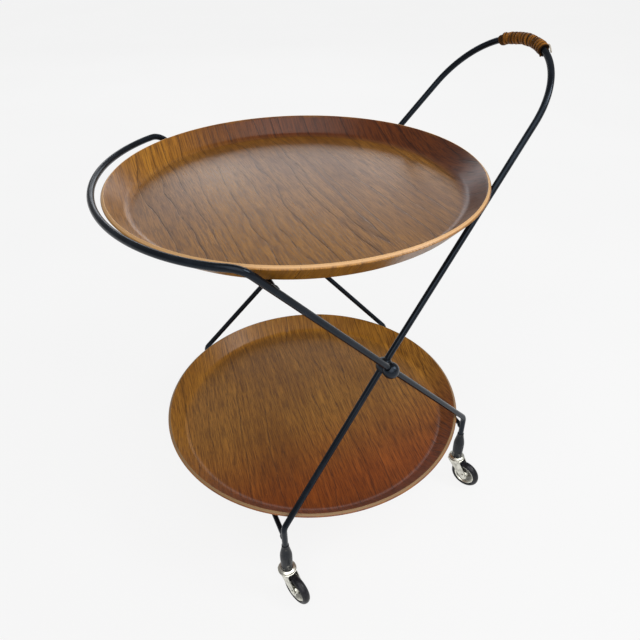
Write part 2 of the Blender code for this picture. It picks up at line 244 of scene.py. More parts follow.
def softened(profile, radii, count=5, closed=False):
    """An (r, z) outline whose corners are rounded; radii gives each corner's radius, 0 for none."""
    flat = [np.array([r, 0.0, z]) for r, z in profile]
    size = len(flat)
    parts = []
    for i, radius in enumerate(radii):
        before, at, after = flat[i - 1], flat[i], flat[(i + 1) % size]
        if radius <= 0 or (not closed and i in (0, size - 1)):
            parts.append(at[None])
            continue
        reach = 0.45 * min(np.linalg.norm(before - at), np.linalg.norm(after - at))
        back, ahead = unit(before - at), unit(after - at)
        half = math.acos(float(np.clip(back @ ahead, -1, 1))) / 2
        if math.pi / 2 - half < 1e-3:
            parts.append(at[None])
            continue
        radius = min(radius, reach * math.tan(half))
        parts.append(bent([before, at, after], [radius], count)[1:-1])
    return np.vstack(parts)[:, [0, 2]]


def on_axle(points):
    """Lays a turned shape on its side, so its axis runs along Y through the wheel's centre."""
    x, y, z = np.moveaxis(points, -1, 0)
    return np.stack([x + TRAIL, -z, y + WHEEL_Z], axis=-1)


def stand(points, place, turn=0.0):
    """Turns points about Z and moves them to a caster's place."""
    cos, sin = math.cos(turn), math.sin(turn)
    x, y, z = np.moveaxis(points, -1, 0)
    return np.stack([place[0] + cos * x - sin * y, place[1] + sin * x + cos * y, z], axis=-1)


def skin(name, shapes, materials, body, replaces=(), wraps=(False, True), sharp=38,
         attributes=None):
    """A piece whose faces span one or more grids of points.

    Neighbouring rows and columns of a grid are joined by quads, and `wraps` says which of the two
    directions closes on itself.  Points that coincide at poles and seams are merged, and the faces
    are then turned outwards.  Attributes hold one number for each point.
    """
    points, quads, start = [], [], 0
    for grid in shapes:
        rows, columns = grid.shape[:2]
        index = np.arange(rows * columns).reshape(rows, columns) + start
        if wraps[0]:
            index = np.vstack([index, index[:1]])
        if wraps[1]:
            index = np.hstack([index, index[:, :1]])
        corners = [index[:-1, :-1], index[1:, :-1], index[1:, 1:], index[:-1, 1:]]
        quads.append(np.stack(corners, axis=-1).reshape(-1, 4))
        points.append(grid.reshape(-1, 3))
        start += rows * columns
    mesh = bpy.data.meshes.new(name)
    mesh.from_pydata(np.vstack(points).tolist(), [], np.vstack(quads).tolist())
    for key, values in (attributes or {}).items():
        layer = mesh.attributes.new(key, "FLOAT", "POINT")
        layer.data.foreach_set("value", np.ravel(values).astype(np.float32))
    work = bmesh.new()
    work.from_mesh(mesh)
    bmesh.ops.remove_doubles(work, verts=work.verts, dist=1e-7)
    bmesh.ops.recalc_face_normals(work, faces=work.faces)
    work.to_mesh(mesh)
    work.free()
    mesh.shade_smooth()
    mesh.set_sharp_from_angle(angle=math.radians(sharp))
    for material in materials:
        mesh.materials.append(material)
    piece = bpy.data.objects.new(name, mesh)
    bpy.context.scene.collection.objects.link(piece)
    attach(piece, body)
    if replaces:
        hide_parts(*replaces)
    return piece


# ---------------------------------------------------------------- the frame's lines

def foot(place, z, side=-1):
    """A point on a vertical leg; place is (x from the pivot, half-width)."""
    return np.array([PIVOT_X + place[0], side * place[1], z])


def handle_point(along, side=-1):
    """A point on the straight handle rod, `along` metres above the pivot."""
    return np.array([PIVOT_X + along * math.cos(HANDLE_RISE),
                     side * (HANDLE_HALF - HANDLE_NARROWS * along),
                     PIVOT_Z + along * math.sin(HANDLE_RISE)])


def ring_point(along, side=-1):
    """A point on the straight ring rod, `along` metres above the pivot."""
    return np.array([PIVOT_X - along * math.cos(RING_RISE),
                     side * (RING_HALF + RING_WIDENS * along),
                     PIVOT_Z + along * math.sin(RING_RISE)])


def arch():
    """Radius of the handle's arch, its centre along the rod, and its half-sweep.

    The arch touches both leaning rods and its crown lies HANDLE_REACH from the pivots.
    """
    lean = math.atan(HANDLE_NARROWS)
    centre = (HANDLE_REACH - HANDLE_HALF * math.cos(lean)) / (1 - HANDLE_NARROWS * math.cos(lean))
    return HANDLE_REACH - centre, centre, math.pi / 2 - lean


def arch_points(angle):
    """Points on the arch; angle 0 is the crown: along = centre + R cos, y = R sin."""
    radius, centre, _ = arch()
    along = centre + radius * np.cos(angle)
    return np.stack([PIVOT_X + along * math.cos(HANDLE_RISE), radius * np.sin(angle),
                     PIVOT_Z + along * math.sin(HANDLE_RISE)], axis=-1)


def handle_path():
    """Foot, leg bend, pivot and arch, then the mirror image."""
    _, _, sweep = arch()
    legs = bent([foot(HANDLE_FOOT, ROD_END_Z), foot(HANDLE_FOOT, BEND_Z), handle_point(0)],
                [BEND_R])
    return mirrored(np.vstack([legs, arch_points(np.linspace(-sweep, 0, 48))]))


def ring_path():
    """Foot, leg bend, pivot, ring bend and half of the ring, then the mirror image.

    The ring's radius is RING_R less a share^4 of what the bend draws it in by.
    """
    bend = ring_point((RING_Z - PIVOT_Z) / math.sin(RING_RISE))
    centre = np.array([PIVOT_X + RING_CENTRE_X, 0, RING_Z])
    spoke = bend - centre
    half_angle = math.atan2(-spoke[1], -spoke[0])
    draw_in = RING_R - np.linalg.norm(spoke)
    share = np.linspace(1, 0, 97)[1:]
    radius = RING_R - draw_in * share ** 4
    ring = centre + np.stack([-radius * np.cos(half_angle * share),
                              -radius * np.sin(half_angle * share), 0 * share], axis=-1)
    legs = bent([foot(RING_FOOT, ROD_END_Z), foot(RING_FOOT, BEND_Z), ring_point(0)], [BEND_R])
    start = 8
    corner = bent([ring_point(0), bend, ring[start]], [RING_BEND_R])
    return mirrored(np.vstack([legs, corner[1:-1], ring[start:]]))


# ---------------------------------------------------------------- finishes

def worked(operation, swapped=False):
    """A method that adds one Math node."""
    def method(self, other=0.0):
        pair = (other, self) if swapped else (self, other)
        return self.finish.node("Math", {"operation": operation}, dict(enumerate(pair)))
    return method


class Amount:
    """A number that varies over a surface; arithmetic on it adds Math nodes."""

    def __init__(self, finish, socket):
        self.finish, self.socket = finish, socket

    __add__ = __radd__ = worked("ADD")
    __sub__, __rsub__ = worked("SUBTRACT"), worked("SUBTRACT", swapped=True)
    __mul__ = __rmul__ = worked("MULTIPLY")
    __truediv__, __pow__ = worked("DIVIDE"), worked("POWER")
    whole, part = worked("FLOOR"), worked("FRACT")
    size, root, least = worked("ABSOLUTE"), worked("SQRT"), worked("MINIMUM")

    def between(self, low, high, smooth=True):
        """0 at low and below, 1 at high and above."""
        kind = "SMOOTHSTEP" if smooth else "LINEAR"
        return self.finish.node("MapRange", {"interpolation_type": kind},
                                {"Value": self, "From Min": low, "From Max": high})


class Finish:
    """A Principled material put together in code."""

    def __init__(self, name, **constants):
        self.material = bpy.data.materials.new(name)
        self.material.use_nodes = True
        self.tree = self.material.node_tree
        self.shader = self.tree.nodes["Principled BSDF"]
        for key, value in constants.items():
            self.shader.inputs[key.replace("_", " ")].default_value = value

    def node(self, kind, settings, inputs, output=0):
        """Adds one node: its type, its settings, then its sockets' values or links."""
        made = self.tree.nodes.new("ShaderNode" + kind)
        for key, value in settings.items():
            setattr(made, key, value)
        for key, value in inputs.items():
            if isinstance(value, Amount):
                self.tree.links.new(value.socket, made.inputs[key])
            else:
                made.inputs[key].default_value = value
        return Amount(self, made.outputs[output])

    def place(self, centre=(0, 0, 0), turn=0.0):
        """Object coordinates about a centre, turned about Z."""
        where = self.node("TexCoord", {}, {}, "Object")
        return self.node("Mapping", {"vector_type": "TEXTURE"},
                         {"Vector": where, "Location": centre, "Rotation": (0, 0, turn)})

    def axes(self, vector):
        """The three parts of a vector."""
        made = self.node("SeparateXYZ", {}, {"Vector": vector}).socket.node
        return [Amount(self, socket) for socket in made.outputs]

    def joined(self, x, y, z=0.0):
        """A vector from three parts."""
        return self.node("CombineXYZ", {}, {"X": x, "Y": y, "Z": z})

    def noise(self, vector, scale=1.0, detail=2.0, roughness=0.5):
        """Smooth noise about 0.5."""
        return self.node("TexNoise", {}, {"Vector": vector, "Scale": scale, "Detail": detail,
                                          "Roughness": roughness})

    def chance(self, number):
        """A different number from 0 to 1 for each whole number."""
        return self.node("TexWhiteNoise", {"noise_dimensions": "1D"}, {"W": number})

    def attribute(self, name):
        """A number kept on the mesh."""
        return self.node("Attribute", {"attribute_name": name}, {}, "Fac")

    def mix(self, factor, first, second, blend="MIX"):
        """One colour mixed into another."""
        first, second = [(*c, 1) if isinstance(c, (tuple, list)) and len(c) == 3 else c
                         for c in (first, second)]
        settings = {"data_type": "RGBA", "blend_type": blend, "clamp_factor": True}
        return self.node("Mix", settings, {0: factor, 6: first, 7: second}, 2)

    def set(self, **inputs):
        """Links varying values to the shader."""
        for key, value in inputs.items():
            self.tree.links.new(value.socket, self.shader.inputs[key.replace("_", " ")])

    def relief(self, height, distance, strength=1.0):
        """Raises the surface by a height map."""
        self.set(Normal=self.node("Bump", {}, {"Height": height, "Distance": distance,
                                               "Strength": strength}))


def colour(name):
    """A colour from the settings."""
    return tuple(getattr(bpy.context.scene.trolley_colours, name))


def size(name):
    """A size from the settings."""
    return getattr(bpy.context.scene.trolley_sizes, name)


def shade(base, factor):
    """A colour made lighter or darker."""
    return tuple(min(1.0, c * factor) for c in base)


def enamel(name, roughness, shine):
    """Black enamel: a slight orange peel, dull patches, dust and a few worn flecks."""
    finish = Finish(name, IOR=1.3, Specular_IOR_Level=shine, Specular_Tint=(0.62, 0.78, 1.0, 1))
    where = finish.place()
    patches = finish.noise(where, 38, 3)
    peel = finish.noise(where, 900, 2)
    fleck = finish.noise(where, 420, 3, 0.7).between(0.73, 0.78)
    base = colour("enamel")
    dusty = finish.mix(patches.between(0.45, 0.75), base, shade(base, 2.0))
    finish.set(Base_Color=finish.mix(fleck * 0.6, dusty, (0.10, 0.10, 0.10)),
               Roughness=(patches - 0.5) * 0.25 + peel * 0.06 + roughness)
    finish.relief(peel + patches * 2.0, 0.00006, 0.5)
    return finish.material


def socket_enamel():
    """Thick black paint with pale chips low on the socket."""
    finish = Finish("socket_enamel", IOR=1.35, Specular_IOR_Level=0.45)
    where = finish.place()
    _, _, z = finish.axes(where)
    low = 1 - z.between(0.060, 0.080)
    chips = (finish.noise(where, 260, 3, 0.65) + low * 0.10).between(0.665, 0.70)
    mottle = finish.noise(where, 120, 3)
    base = colour("enamel")
    paint = finish.mix(mottle.between(0.35, 0.7), base, shade(base, 2.4))
    finish.set(Base_Color=finish.mix(chips, paint, (0.30, 0.29, 0.26)),
               Roughness=mottle * 0.3 + 0.26 + chips * 0.2)
    finish.relief(mottle - chips * 0.8, 0.00015, 0.5)
    return finish.material


def teak(name, spec, turn, heart, spacing, fineness, seed, tone):
    """Oiled teak veneer on a pressed tray.

    Growth rings are very long ellipses along the grain about a heart, bent by slow noise; each
    ring darkens towards its outer side by its own amount, and some end in a hard dark line.
    Pores and fibres are noise drawn out along the grain.  Painted shade darkens and reddens the
    tone towards one side: on the upper tray mostly on its far right wall, on the lower tray on
    its floor in front, where the upper tray shades it.  Painted light gilds the wall on the other
    side, and on the lower tray the light and brown tones are raised as painted light against the
    upper tray's shade.  The attribute `ply` is below 0 on the upper veneer, 0 to 1 across the cut
    edge and above 1 underneath.
    """
    finish = Finish(name, Coat_Roughness=0.26, Specular_IOR_Level=0.32)
    finish.shader.inputs["Coat Weight"].default_value = 0.05
    where = finish.place((spec["x"], 0, 0), turn)
    x, y, _ = finish.axes(where)
    reach = (x * x + y * y).root()

    def drawn(across, along, place, detail=2, roughness=0.5):
        """Noise drawn out along the grain, given its turns a metre across and along it."""
        where = finish.joined(x * across, y * along, seed + place)
        return finish.noise(where, 1, detail, roughness)

    slow = drawn(7.5, 3.4, 0)
    quick = drawn(34, 9, 3, 3)
    dx = x - heart[0] + (slow - 0.5) * 0.075
    dy = (y - heart[1]) * 0.045
    rings = ((dx * dx + dy * dy).root() + (quick - 0.5) * 0.011) / spacing
    number, share = rings.whole(), rings.part()
    chance = finish.chance(number + seed)
    late = share.between(0.30, 0.97) ** 2.2 * (1 - share.between(0.985, 1.0)) \
        * (chance * 0.8 + 0.2)
    broken = drawn(60, 16, 7, 3).between(0.36, 0.56)
    line = share.between(0.89, 0.96) * (1 - share.between(0.98, 1.0)) \
        * chance.between(0.60, 0.68) * broken
    fibre = drawn(620 * fineness, 30, 11, 3, 0.6)
    streak = drawn(95 * fineness, 5, 19)
    dashes = drawn(760 * fineness, 62, 23)
    pores = dashes.between(0.56, 0.68) * (late * 0.6 + 0.4)
    flecks = drawn(600 * fineness, 90, 29).between(0.62, 0.74)
    broad = drawn(7, 3.2, 31)

    # The light and brown tones are scaled for each tray; on the lower tray they are raised, as
    # painted light against the shade of the upper tray.
    light, brown = (shade(colour(key), tone["lightness_and_painted_light"]) for key in ("teak_light", "teak_brown"))
    dark = colour("teak_dark")
    ground = finish.mix((broad - 0.5) * 2.6 + (streak - 0.5) * 1.8 + 0.45, light, brown)
    ground = finish.mix(fibre.between(0.44, 0.60) * 0.70, ground, shade(dark, 1.8))
    ground = finish.mix((late * 0.42 + pores * 0.62 + line * 0.85).least(0.92), ground, dark)
    ground = finish.mix(flecks * 0.34, ground, shade(light, 1.6))
    # Painted shade: the tone darkens and reddens towards one side, on the upper tray's far right
    # wall and on the lower tray's front floor, which the upper tray shades.
    painted_shade = (x * tone["lean"][0] + y * tone["lean"][1]).between(tone["from"], tone["to"])
    wall = reach.between(spec["rim_r"] - 0.036, spec["rim_r"] - 0.020)
    ground = finish.mix(painted_shade * (wall * tone["wall"] + tone["floor"]), ground,
                        tone["colour"], "MULTIPLY")
    # Painted light: the wall on the side away from the painted shade is made lighter and more
    # golden.
    ground = finish.mix(wall * (1 - painted_shade) * tone["painted_wall_light"], ground, (1.75, 1.70, 0.95),
                        "MULTIPLY")
    worn = finish.noise(where, 30, 3).between(0.40, 0.75)
    lip = reach.between(spec["rim_r"] - 0.0035, spec["rim_r"] + 0.0002)
    ground = finish.mix(lip * worn * 0.5, ground, shade(light, 1.25))

    ply = finish.attribute("ply")
    layers = ((ply * 5.0).part() - 0.5).size().between(0.30, 0.48)
    crossed = (ply * 2.5).part().between(0.47, 0.53)
    cut = shade(colour("cut_edge"), tone["edge"])
    speckle = finish.noise(where, 700, 3).between(0.35, 0.75)
    edge = finish.mix(crossed * 0.45 + speckle * 0.25, cut, shade(cut, 0.72))
    edge = finish.mix(layers * 0.30, edge, shade(cut, 0.42))
    on_edge = ply.between(-0.55, -0.30) * (1 - ply.between(0.45, 0.80))
    under = ply.between(1.4, 1.6)
    ground = finish.mix(under * 0.55, ground, shade(brown, 0.75))
    finish.set(Base_Color=finish.mix(on_edge, ground, edge),
               Roughness=(broad - 0.5) * 0.16 + pores * 0.12 + fibre * 0.10 + on_edge * 0.16
               + tone["roughness"])
    finish.relief(fibre * 0.35 - pores * 0.8 - line * 1.2 - late * 0.3 + slow * 2.2, 0.00022, 0.55)
    return finish.material


def wound_cane():
    """Brown cane strip: fibres along it, painted shade along its edges where the turns meet, and a
    darkened first turn.
    """
    finish = Finish("wound_cane", Specular_IOR_Level=0.08)
    along, across = finish.attribute("along"), finish.attribute("across")
    fibre = finish.noise(finish.joined(across * 5, along * 26), 1, 3)
    patch = finish.noise(finish.joined(across * 0.6, along * 60, 4.0), 1, 2)
    painted_groove_shade = across.size().between(0.50, 0.95)
    cane = colour("cane")
    base = finish.mix(patch.between(0.36, 0.64), shade(cane, 1.45), shade(cane, 0.30))
    base = finish.mix(fibre.between(0.40, 0.62) * 0.5, base, shade(cane, 0.40))
    # Painted shade: the strip's edges, in the grooves between the turns, go nearly black.
    base = finish.mix(painted_groove_shade * 0.95, base, shade(cane, 0.04))
    begun = along.between(0.015, 0.050)
    base = finish.mix((1 - begun) * 0.75, base, shade(cane, 0.12))
    finish.set(Base_Color=base, Roughness=fibre * 0.25 + 0.30 + painted_groove_shade * 0.2)
    finish.relief(fibre + (1 - painted_groove_shade) * 0.6, 0.0003, 0.7)
    return finish.material


def pale_fibre():
    """The bare inner side of the strip's end."""
    finish = Finish("pale_fibre")
    where = finish.place()
    grain = finish.noise(where, 700, 3)
    finish.set(Base_Color=finish.mix(grain.between(0.35, 0.65), (0.46, 0.42, 0.36),
                                     (0.26, 0.22, 0.18)),
               Roughness=grain * 0.3 + 0.5)
    finish.relief(grain, 0.0002, 0.6)
    return finish.material


def plated(name, tint, roughness, grime):
    """Dull nickel plating: fine scratches, clouding, brown specks and grime in patches, and painted
    shade on a wheel's recessed web.
    """
    finish = Finish(name, Metallic=1.0)
    where = finish.place()
    x, y, z = finish.axes(where)
    cloud = finish.noise(where, 130, 4, 0.6)
    scratch = finish.noise(finish.joined(x * 240, y * 240, z * 2200), 1, 2)
    speck = finish.noise(where, 620, 3, 0.7).between(0.66, 0.74)
    base = finish.mix(cloud.between(0.35, 0.70), tint, shade(tint, 0.62))
    base = finish.mix(speck * grime, base, (0.13, 0.10, 0.06))
    # Painted shade: a wheel's recessed web, between the hub and the rim, is darkened nearly to
    # black.
    base = finish.mix(finish.attribute("web") * 0.80, base, (0.05, 0.048, 0.042))
    finish.set(Base_Color=base,
               Roughness=(cloud - 0.5) * 0.5 + scratch * 0.14 + speck * 0.25 + roughness)
    finish.relief(scratch * 0.6 + cloud * 1.5 - speck, 0.00008, 0.6)
    return finish.material


def rubber():
    """Black tyre: a scuffed, dusty tread and smoother sidewalls."""
    finish = Finish("tyre_rubber", IOR=1.35, Specular_IOR_Level=0.45)
    where = finish.place()
    dust = finish.noise(where, 95, 4, 0.65)
    grain = finish.noise(where, 1300, 2)
    base = colour("rubber")
    finish.set(Base_Color=finish.mix(dust.between(0.42, 0.72), base, shade(base, 3.0)),
               Roughness=dust * 0.30 + grain * 0.08 + 0.18)
    finish.relief(grain + dust * 2, 0.00008, 0.6)
    return finish.material


def finishes():
    """Every material by name, made once."""
    made = bpy.data.materials
    if "satin_enamel" not in made:
        enamel("satin_enamel", 0.20, 0.50)
        enamel("ball_enamel", 0.30, 0.80)
        socket_enamel()
        # In each tone, lean, from, to, wall, floor and colour place and tint the painted shade,
        # gild sets the painted light on the wall, and bright scales the tones, on the lower tray as
        # painted light.
        teak("teak_upper", UPPER_TRAY, 0.0, (0.035, 0.06), 0.0125, 1.0, 2.0,
             {"lean": (0.9, 0.45), "from": -0.09, "to": 0.16, "wall": 0.75, "floor": 0.05,
              "colour": (0.38, 0.10, 0.08), "roughness": 0.25, "edge": 1.30,
              "lightness_and_painted_light": 0.87, "painted_wall_light": 0.60})
        teak("teak_lower", LOWER_TRAY, math.radians(-7), (-0.105, 0.03), 0.0080, 1.35, 41.0,
             {"lean": (0.12, -0.90), "from": -0.01, "to": 0.17, "wall": 0.10, "floor": 0.85,
              "colour": (0.68, 0.30, 0.25), "roughness": 0.32, "edge": 0.55,
              "lightness_and_painted_light": 1.16, "painted_wall_light": 0.45})
        wound_cane()
        pale_fibre()
        nickel = colour("nickel")
        plated("plated_steel", nickel, 0.28, 0.45)
        plated("wheel_plating", shade(nickel, 1.15), 0.30, 0.5)
        rubber()
    return made


# ---------------------------------------------------------------- pieces

class TrolleyOperator:
    """What all the builders share."""

    bl_options = {"REGISTER", "UNDO"}


class TROLLEY_OT_rods(TrolleyOperator, Operator):
    """Sweeps both bent rods and their crossbars, with a weld bead at each joint"""

    bl_idname = "trolley.rods"
    bl_label = "Rods and crossbars"

    def execute(self, context):
        black = finishes()["satin_enamel"]
        radius = size("rod_radius")
        for name, path, node in (("handle_rod", handle_path(), "handle_frame"),
                                 ("ring_rod", ring_path(), "ring_frame")):
            section = round_section(radius, len(path), 40)
            skin(name, [carried(path, section, (1.0, 0, 0))], [black], "frame",
                 [node])
        self.crossbars(black, radius)
        return {"FINISHED"}

    def crossbars(self, black, rod_radius):
        """Round bars whose radius swells to a bead by the rods: r + bead exp(-(gap / reach)^2)."""
        bar_r, bead, reach = size("bar_radius"), 0.0013, 0.0016
        for name in ("handle_frame_foot_bar", "ring_frame_foot_bar", "handle_frame_tray_bar",
                     "ring_frame_tray_bar"):
            low, high = (np.array(corner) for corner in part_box(name))
            middle = (low + high) / 2
            half = high[1] + rod_radius * 0.8
            rows = half - np.concatenate([np.linspace(0, 0.010, 18), [0.04]])
            rows = np.concatenate([rows, -rows[::-1]])
            gap = high[1] - np.abs(rows)
            swell = bar_r + bead * np.exp(-(np.maximum(gap, 0) / reach) ** 2)
            path = np.stack([0 * rows + middle[0], rows, 0 * rows + middle[2]], axis=-1)
            section = round_section(swell, len(path), 28)
            skin(name.replace("_frame", ""), [carried(path, section, (0, 0, 1.0))], [black],
                 "frame", [name])


class TROLLEY_OT_pivots(TrolleyOperator, Operator):
    """Turns the four pivot balls and the pins between them"""

    bl_idname = "trolley.pivots"
    bl_label = "Ball pivots"

    def execute(self, context):
        made = finishes()
        share = BALL_DROP / (PIVOT_Z - BEND_Z)
        for side, where in ((-1, "near"), (1, "far")):
            runs = {}
            for kind, point, place, lean in (("handle", handle_point, HANDLE_FOOT, -BALL_LEAN),
                                             ("ring", ring_point, RING_FOOT, BALL_LEAN)):
                kink, low = point(0, side), foot(place, BEND_Z, side)
                centre = kink + (low - kink) * share
                centre[0] = PIVOT_X + lean
                axis = unit(unit(point(0.02, side) - kink) - unit(low - kink))
                runs[kind] = (centre, kink, axis)
            for kind, other in (("handle", "ring"), ("ring", "handle")):
                self.ball("{}_{}".format(kind, where), runs[kind], runs[other][0],
                          made["ball_enamel"])
            self.pin("pivot_pin_{}".format(where), made["plated_steel"])
        return {"FINISHED"}

    def ball(self, name, run, other, material):
        """A ball bored for its rod and flat where it meets the other ball.

        The bore lies a little off the ball's centre, so the outline's rows shift towards it by a
        weight that rises near the bore's mouths, and the outside rows then go back to
        radius * direction.  Points past the plane half-way to the other ball are carried back to
        that plane.
        """
        centre, kink, axis = run
        radius, bore = size("ball_radius"), size("rod_radius") + 0.0001
        lip = math.asin(bore / radius) + 0.06
        polar = np.linspace(lip, math.pi - lip, 110)
        outside = np.stack([radius * np.sin(polar), radius * np.cos(polar)], axis=-1)
        end = radius * math.cos(lip)
        inside = [(bore + 0.0003, -end + 0.0001), (bore, -end + 0.0006), (bore, end - 0.0006),
                  (bore + 0.0003, end - 0.0001)]
        side_on = unit(np.cross(axis, (1.0, 0, 0)))
        turn = np.stack([side_on, np.cross(axis, side_on), axis])
        points = turned(np.vstack([outside, inside]), 160) @ turn
        off = (kink - centre) - axis * np.dot(kink - centre, axis)
        near_lip = np.clip((np.abs(np.cos(polar)) - 0.55) / (math.cos(lip) - 0.55), 0, 1)
        weight = np.concatenate([near_lip, np.ones(len(inside))])
        points = points + weight[:, None, None] * off
        rows = len(outside)
        points[:rows] = radius * unit(points[:rows])
        across = unit(other - centre)
        reach = (np.linalg.norm(other - centre) - BALL_GAP) / 2
        past = np.maximum(points @ across - reach, 0)
        points = points - past[..., None] * across
        skin("pivot_" + name, [points + centre], [material], "frame",
             ["pivot_ball_" + name], wraps=(True, True), sharp=30)

    def pin(self, name, material):
        """A short pin with rounded ends, between the two balls."""
        low, high = (np.array(corner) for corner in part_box(name))
        half = (high[1] - low[1]) / 2
        radius = (high[2] - low[2]) / 2
        outline = softened([(0, -half), (radius, -half), (radius, half), (0, half)],
                           [0, 0.0006, 0.0006, 0])
        points = turned(outline, 28)[..., [0, 2, 1]]
        skin(name + "_turned", [points + (low + high) / 2], [material], "frame", [name])


class TROLLEY_OT_winding(TrolleyOperator, Operator):
    """Winds the cane strip round the crown of the handle"""

    bl_idname = "trolley.winding"
    bl_label = "Handle winding"

    def execute(self, context):
        made = finishes()
        self.strip(made["wound_cane"])
        self.tail(made["pale_fibre"])
        self.stub(made["wound_cane"])
        return {"FINISHED"}

    def frames(self, angle):
        """The rod's centre line at an arch angle, with its outward, side and forward directions."""
        up = np.array([math.cos(HANDLE_RISE), 0, math.sin(HANDLE_RISE)])
        side_on = np.array([-math.sin(HANDLE_RISE), 0, math.cos(HANDLE_RISE)])
        angle = np.asarray(angle)[..., None]
        outward = up * np.cos(angle) + np.array([0, 1.0, 0]) * np.sin(angle)
        forward = -up * np.sin(angle) + np.array([0, 1.0, 0]) * np.cos(angle)
        return arch_points(angle[..., 0]), outward, np.broadcast_to(side_on, outward.shape), forward

    def strip(self, material):
        """A flattened strip on a helix about the arch.

        Its middle goes round the rod once a turn and moves one pitch along it; its section is a
        superellipse, wide along the rod and thin across it, and every turn sits a little
        differently.
        """
        turns = size("wrap_turns")
        rod_r, outer = size("rod_radius"), size("wrap_radius")
        start, end = WRAP_HALF_ANGLE, -WRAP_HALF_ANGLE
        count = turns * 40
        share = np.linspace(0, 1, count + 1)
        wound = share * turns
        rng = np.random.default_rng(5)
        knots = rng.normal(0, 1, (3, turns * 3 + 2))
        at = np.linspace(0, turns * 3 + 1, count + 1)
        lift, slide, fat = [np.interp(at, np.arange(turns * 3 + 2), row) for row in knots]
        arch_r, _, _ = arch()
        pitch = arch_r * (start - end) / turns
        thick = (outer - rod_r) / 2
        angle = start + (end - start) * share + slide * 0.16 * pitch / arch_r
        centre, outward, side_on, forward = self.frames(angle)
        spin = 2 * math.pi * wound
        radial = np.cos(spin)[:, None] * outward + np.sin(spin)[:, None] * side_on
        taper = ease(wound / 0.35) * ease((turns - wound) / 0.35) * 0.85 + 0.15
        bulk = 1 + 0.10 * fat + 0.22 * np.exp(-((wound - 0.6) / 0.7) ** 2)
        half_thick = thick * taper * np.clip(bulk, 0.8, 1.15) * 0.90
        middle = rod_r + 0.0001 + half_thick + 0.0001 * lift
        turn = np.linspace(0, 2 * math.pi, 20, endpoint=False)
        wide = np.sign(np.cos(turn)) * np.abs(np.cos(turn)) ** 0.75
        high = np.sign(np.sin(turn)) * np.abs(np.sin(turn)) ** 0.75
        half_wide = pitch * 0.53 * (0.6 + 0.4 * taper)
        points = (centre + middle[:, None] * radial)[:, None] \
            + (half_thick[:, None] * high)[..., None] * radial[:, None] \
            + (half_wide[:, None] * wide)[..., None] * forward[:, None]
        points = ended(points)
        run = np.concatenate([share[:1], share, share[-1:]]) * turns * 2 * math.pi * 0.0065
        skin("winding_strip", [points], [material], "frame", ["handle_wrap"], sharp=60,
             attributes={"along": np.broadcast_to(run[:, None], points.shape[:2]),
                         "across": np.broadcast_to(wide, points.shape[:2])})

    def tail(self, material):
        """The strip's bare end, which lies along the rod beyond the last turn."""
        share = np.linspace(0, 1, 15)
        frame = self.frames(-WRAP_HALF_ANGLE - 0.095 * share + 0.03)
        lean = 0.10 + 0.15 * share
        above = size("rod_radius") + 0.0014 + 0.0026 * (1 - share)
        self.strip_end("winding_tail", material, frame, lean, above,
                       0.0030 * (1 - 0.45 * share ** 3), 0.0010)

    def stub(self, material):
        """The strip's cut end, tucked out under the last turn."""
        share = np.linspace(0, 1, 13)
        frame = self.frames(-WRAP_HALF_ANGLE + 0.02 - 0.035 * share)
        above = size("rod_radius") + 0.0013 + 0.0016 * share
        self.strip_end("winding_end", material, frame, math.pi + 0 * share, above,
                       0.0024 * (1 - 0.3 * share), 0.0011)

    def strip_end(self, name, material, frame, lean, above, half_wide, half_thick):
        """A flat oval carried along the rod, `above` its centre line and turned by `lean`."""
        centre, outward, side_on, _ = frame
        cos, sin = np.cos(lean)[:, None], np.sin(lean)[:, None]
        radial = cos * outward - sin * side_on
        across = sin * outward + cos * side_on
        turn = np.linspace(0, 2 * math.pi, 16, endpoint=False)
        points = (centre + above[:, None] * radial)[:, None] \
            + (half_wide[:, None] * np.cos(turn))[..., None] * across[:, None] \
            + half_thick * np.sin(turn)[None, :, None] * radial[:, None]
        points = ended(points)
        none = np.zeros(points.shape[:2])
        skin(name, [points], [material], "frame", sharp=60,
             attributes={"along": none, "across": none})


